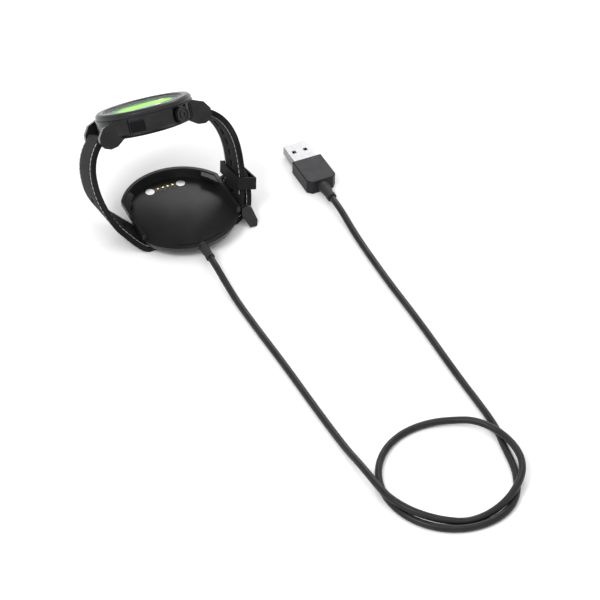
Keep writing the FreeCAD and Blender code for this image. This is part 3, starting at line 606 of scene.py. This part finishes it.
def carve(obj, cutters):
    """Cut the cutters out of obj, and keep the result in its mesh."""
    joined = bmesh.new()
    for verts, faces in cutters:
        made = [joined.verts.new(v) for v in verts]
        for face in faces:
            joined.faces.new([made[k] for k in face])
    bmesh.ops.recalc_face_normals(joined, faces=joined.faces)
    mesh = bpy.data.meshes.new("cutter")
    joined.to_mesh(mesh)
    joined.free()
    cutter = bpy.data.objects.new("cutter", mesh)
    bpy.context.scene.collection.objects.link(cutter)
    modifier = obj.modifiers.new("carve", "BOOLEAN")
    modifier.operation = "DIFFERENCE"
    modifier.solver = "EXACT"
    modifier.object = cutter
    evaluated = obj.evaluated_get(bpy.context.evaluated_depsgraph_get())
    result = bpy.data.meshes.new_from_object(evaluated)
    obj.modifiers.clear()
    obj.data = result
    bpy.data.objects.remove(cutter)


def prism(place, directions, outline, low, high):
    """A straight cutter: the outline in the first two directions, from low to high along the third."""
    first, second, third = directions
    verts = [place + first * u + second * v + third * level for level in (low, high) for u, v in outline]
    size = len(outline)
    faces = [tuple(range(size)), tuple(range(size, size * 2))]
    faces += [(k, (k + 1) % size, size + (k + 1) % size, size + k) for k in range(size)]
    return verts, faces


def rounded_slot(long_half, wide_half, steps=5):
    """The outline of a slot with half-round ends, in metres."""
    outline = []
    for side in (1, -1):
        for k in range(steps + 1):
            angle = math.pi * (k / steps - 0.5)
            outline.append((side * (long_half - wide_half + wide_half * math.cos(angle)),
                            side * wide_half * math.sin(angle)))
    return outline


def circle_outline(radius, steps=16):
    return [(radius * math.cos(2 * math.pi * k / steps), radius * math.sin(2 * math.pi * k / steps))
            for k in range(steps)]


# ---- the strap ----

# how many cross-sections each strap has, and which of them carry holes, slots and stitches
LONG_COUNT = 181
SHORT_COUNT = 91
HOLES = range(42, 78, 9)
SLOTS = range(12, 74, 10)
LONG_STITCHES = (5, LONG_COUNT - 9, 3)
SHORT_STITCHES = (5, SHORT_COUNT - 8, 4)

# strap sizes, in millimetres
STRAP_WIDE = 22.0
STRAP_TAPER = 2.4
LONG_THICK = 2.98
TAIL_THICK = 2.4
SHORT_THICK = 2.98
HOLE_RADIUS = 1.15
CUT_DEPTH = 4.0
SLOT_HALF = (1.7, 0.5)
SLOT_LEVEL = (0.9, 3.0)

# where the tang goes through the long strap, and its slot there
TANG_HOLE_X = 31.0
TANG_HOLE_Y = -0.08
TANG_HOLE_UP = 5.3
TANG_SLOT_HALF = (2.3, 1.25)
TANG_SLOT_TURN = math.radians(30)

# the rolled ends round the spring bars and the buckle pin
BAR_ROLL = {"radius": 1.62, "half_length": 10.95, "bore": 0.8}
PIN_ROLL = {"radius": 1.72, "half_length": 3.95, "bore": 0.85}
PIN_ROLL_OFFSET = 5.6
PIN_BORE_REACH = 20.0
TANG_NOTCH_RADIUS = 3.3
TANG_NOTCH_HALF = 1.6
PIN_STEPS = 28


def long_thick(share):
    """The long strap thins towards its tail, four fifths of the way along."""
    return TAIL_THICK + (LONG_THICK - TAIL_THICK) * min(max((0.8 - share) / 0.04, 0.0), 1.0)


def long_wide(share):
    return STRAP_WIDE - STRAP_TAPER * min(share * 1.6, 1.0)


def tail_end(share):
    """The tail's rounded tip, as a share of its width."""
    left = (1.0 - share) / 0.045
    return 1.0 if left >= 1 else max(0.25, math.sqrt(1 - (1 - left) ** 2))


def short_thick(share):
    return SHORT_THICK


def short_wide(share):
    return STRAP_WIDE - STRAP_TAPER * share


def square_end(share):
    return 1.0


def knuckle(middle, axis, radius, half_length, bore, steps=28):
    """The rolled end of a strap round a bar: a tube with a rounded outside, as verts and faces."""
    side = Vector((1, 0, 0))
    up = axis.cross(side).normalized()
    stations = ((-1.0, 0.86), (-0.96, 0.97), (-0.9, 1.0), (0.9, 1.0), (0.96, 0.97), (1.0, 0.86))
    verts = []
    for shift, fat in stations:
        for k in range(steps):
            angle = 2 * math.pi * k / steps
            verts.append(middle + axis * (half_length * shift)
                         + (side * math.cos(angle) + up * math.sin(angle)) * (radius * fat))
    for shift in (1.0, -1.0):
        for k in range(steps):
            angle = 2 * math.pi * k / steps
            verts.append(middle + axis * (half_length * shift)
                         + (side * math.cos(angle) + up * math.sin(angle)) * bore)
    rows = len(stations) + 2
    faces = []
    for r in range(rows):
        nxt = (r + 1) % rows
        for k in range(steps):
            after = (k + 1) % steps
            faces.append((r * steps + k, r * steps + after, nxt * steps + after, nxt * steps + k))
    return verts, faces


def strap_roll(name, middle, axis, radius, half_length, bore):
    """A strap's rolled end as a piece; its sizes are in millimetres."""
    verts, faces = knuckle(middle, axis, radius * MM, half_length * MM, bore * MM)
    uvs = [(v.x / MM, v.y / MM) for v in verts]
    add_mesh(name, verts, faces, MATERIALS["strap"], "watch", uvs=uvs)


def bar_roll(name, side):
    """The roll round one spring bar: side is -1 for the long strap, 1 for the short one."""
    middle = HEAD @ (Vector((SPRING_BAR_X * side, 0, SPRING_BAR_UP)) * MM)
    axis = (HEAD.to_3x3() @ Vector((0, 1, 0))).normalized()
    strap_roll(name, middle, axis, **BAR_ROLL)


def hole_cutters(points):
    """The adjustment holes and the slot that the tang goes through."""
    cutters = []
    for n in HOLES:
        place, along, across, through = strap_frame(points, n)
        cutters.append(prism(place, (along, across, through), circle_outline(HOLE_RADIUS * MM),
                             -CUT_DEPTH * MM, CUT_DEPTH * MM))
    place = Vector((TANG_HOLE_X, TANG_HOLE_Y, HALF_THICK + TANG_HOLE_UP * math.cos(LEAN))) * MM
    turn = Matrix.Rotation(TANG_SLOT_TURN, 3, "Y")
    axes = (turn @ Vector((0, 0, 1)), Vector((0, 1, 0)), turn @ Vector((1, 0, 0)))
    outline = rounded_slot(*(half * MM for half in TANG_SLOT_HALF))
    cutters.append(prism(place, axes, outline, -CUT_DEPTH * MM, CUT_DEPTH * MM))
    return cutters


def make_long_strap():
    verts, faces, uvs, points = strap_mesh(LONG_PATH, LONG_COUNT, long_thick, long_wide, tail_end)
    strap = add_mesh("long_strap_cloth", verts, faces, MATERIALS["strap"], "watch", uvs=uvs)
    carve(strap, hole_cutters(points))
    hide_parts("long_strap")
    verts, faces = stitch_mesh(points, long_thick, long_wide, *LONG_STITCHES)
    add_mesh("long_strap_stitches", verts, faces, MATERIALS["thread"], "watch")
    bar_roll("long_strap_roll", -1)


def slot_cutters(points):
    """The row of blind slots in the short strap's inner face."""
    cutters = []
    outline = rounded_slot(*(half * MM for half in SLOT_HALF))
    for n in SLOTS:
        place, along, across, through = strap_frame(points, n)
        inward = through if through.x < 0 else -through
        cutters.append(prism(place, (along, across, inward), outline, *(level * MM for level in SLOT_LEVEL)))
    return cutters


def make_short_strap():
    verts, faces, uvs, points = strap_mesh(SHORT_PATH, SHORT_COUNT, short_thick, short_wide, square_end)
    strap = add_mesh("short_strap_cloth", verts, faces, MATERIALS["strap"], "watch", uvs=uvs)
    carve(strap, slot_cutters(points))
    pin = loop_point(*SHORT_PATH[-1])
    pin_axes = (Vector((1, 0, 0)), Vector((0, 0, 1)), Vector((0, 1, 0)))
    notch = circle_outline(TANG_NOTCH_RADIUS * MM, PIN_STEPS)
    carve(strap, [prism(pin, pin_axes, notch, -TANG_NOTCH_HALF * MM, TANG_NOTCH_HALF * MM)])
    bore = circle_outline(PIN_ROLL["bore"] * MM, PIN_STEPS)
    carve(strap, [prism(pin, pin_axes, bore, -PIN_BORE_REACH * MM, PIN_BORE_REACH * MM)])
    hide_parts("short_strap")
    verts, faces = stitch_mesh(points, short_thick, short_wide, *SHORT_STITCHES)
    add_mesh("short_strap_stitches", verts, faces, MATERIALS["thread"], "watch")
    bar_roll("short_strap_roll", 1)
    for label, side in (("near", -1), ("far", 1)):
        middle = pin + Vector((0, side * PIN_ROLL_OFFSET * MM, 0))
        strap_roll(f"buckle_roll_{label}", middle, Vector((0, 1, 0)), **PIN_ROLL)


# ---- the dial ----

def make_dial():
    """The lit panel under the crystal: a shallow disc with its own flat coordinates."""
    radius = 17.85 * MM
    low = 9.32 * MM
    high = 10.48 * MM
    below_edge = high - 0.1 * MM
    steps = 72
    verts = []
    uvs = []
    for level, share in ((low, 0.0), (low, 0.99), (low, 1.0), (below_edge, 1.0), (high, 0.99), (high, 0.0)):
        count = 1 if share == 0.0 else steps
        for k in range(count):
            angle = 2 * math.pi * k / steps
            spot = Vector((radius * share * math.cos(angle), radius * share * math.sin(angle), level))
            verts.append(HEAD @ spot)
            uvs.append((spot.x / radius, spot.y / radius))
    rows = [1 + steps * r for r in range(4)]
    faces = [(0, rows[0] + (k + 1) % steps, rows[0] + k) for k in range(steps)]
    for r in range(3):
        for k in range(steps):
            after = (k + 1) % steps
            faces.append((rows[r] + k, rows[r] + after, rows[r + 1] + after, rows[r + 1] + k))
    top = len(verts) - 1
    faces += [(top, rows[3] + k, rows[3] + (k + 1) % steps) for k in range(steps)]
    dial = add_mesh("dial_panel", verts, faces, MATERIALS["dial"], "watch", smooth=False, uvs=uvs)
    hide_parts("display_panel")


# ---- the CAD pieces that stay ----

FINISH = {
    "case": ("mid_case", "back_cover"),
    "bezel": ("bezel", "button_cap"),
    "buckle": ("buckle_frame", "buckle_tang"),
    "glass": ("crystal",),
    "window": ("side_window", "display_border"),
    "inner": ("display_frame", "pin_block"),
    "board": ("main_board", "dock_board"),
    "foil": ("battery",),
    "ceramic": ("gps_antenna",),
    "rubber": ("back_gasket", "button_seal", "cable_gland", "plug_relief"),
    "steel": ("vibration_motor", "button_switch", "spring_bar_long", "spring_bar_short", "buckle_pin",
              *(f"pogo_spring_{n}" for n in range(1, 5)), *(f"back_screw_{n}" for n in range(1, 5)),
              *(f"dock_screw_{n}" for n in range(1, 5))),
    "gold": ("charge_contacts", "plug_contacts", *(f"pogo_pin_{n}" for n in range(1, 5))),
    "leather": ("strap_keeper",),
    "dock": ("dock_shell", "dock_base"),
    "magnet": ("dock_magnet_left", "dock_magnet_right"),
    "plug": ("plug_mould",),
    "plug_steel": ("plug_shell",),
    "tongue": ("plug_tongue",),
}
# width of the softened edges, in millimetres
EDGE = {
    "mid_case": 0.35, "bezel": 0.2, "button_cap": 0.15, "buckle_frame": 0.4, "buckle_tang": 0.2,
    "side_window": 0.1, "strap_keeper": 0.3, "dock_shell": 0.35, "dock_base": 0.15, "plug_mould": 0.25,
    "plug_shell": 0.15, "plug_relief": 0.3, "cable_gland": 0.3, "dock_magnet_left": 0.25,
    "dock_magnet_right": 0.25, "pin_block": 0.1, "back_cover": 0.15,
}


def finish_nodes():
    """Give each kept CAD piece its material, and soften the edges that show."""
    for key, names in FINISH.items():
        for name in names:
            obj = NODES[name]
            obj.data.materials.clear()
            obj.data.materials.append(MATERIALS[key])
    for name, width in EDGE.items():
        obj = NODES[name]
        weld = obj.modifiers.new("weld", "WELD")
        weld.merge_threshold = 0.00001
        edge = obj.modifiers.new("edge", "BEVEL")
        edge.width = width * MM
        edge.segments = 3
        edge.limit_method = "ANGLE"
        edge.angle_limit = math.radians(32)
        edge.use_clamp_overlap = True


# ---- stage ----

def area_light(name, place, target, size, power):
    data = bpy.data.lights.new(name, "AREA")
    data.shape = "DISK"
    data.size = size
    data.energy = power
    light = bpy.data.objects.new(name, data)
    light.location = place
    light.rotation_mode = "QUATERNION"
    light.rotation_quaternion = look_at(place, target)
    bpy.context.scene.collection.objects.link(light)


def make_stage():
    """A pale floor just below the strap, an even white sky and three soft lights."""
    size = 3.0
    mesh = bpy.data.meshes.new("floor")
    corners = [(-size, -size, 0), (size, -size, 0), (size, size, 0), (-size, size, 0)]
    mesh.from_pydata(corners, [], [(0, 1, 2, 3)])
    mesh.materials.append(floor_paint("floor_paint"))
    floor = bpy.data.objects.new("floor", mesh)
    floor.location.z = -0.0001
    bpy.context.scene.collection.objects.link(floor)
    world = bpy.data.worlds.new("world")
    world.use_nodes = True
    world.node_tree.nodes["Background"].inputs["Color"].default_value = (1.0, 1.0, 1.0, 1.0)
    world.node_tree.nodes["Background"].inputs["Strength"].default_value = 0.9
    bpy.context.scene.world = world
    middle = (0.02, -0.06, 0.02)
    area_light("key", (-0.6, -0.3, 0.9), middle, 0.4, 5.0)
    area_light("rim", (0.5, 0.7, 0.6), middle, 0.4, 3.0)
    area_light("top", (0.1, -0.5, 1.2), middle, 0.8, 3.0)
    bpy.context.scene.view_settings.view_transform = "Standard"


make_long_strap()
make_short_strap()
make_dial()
finish_nodes()
make_stage()
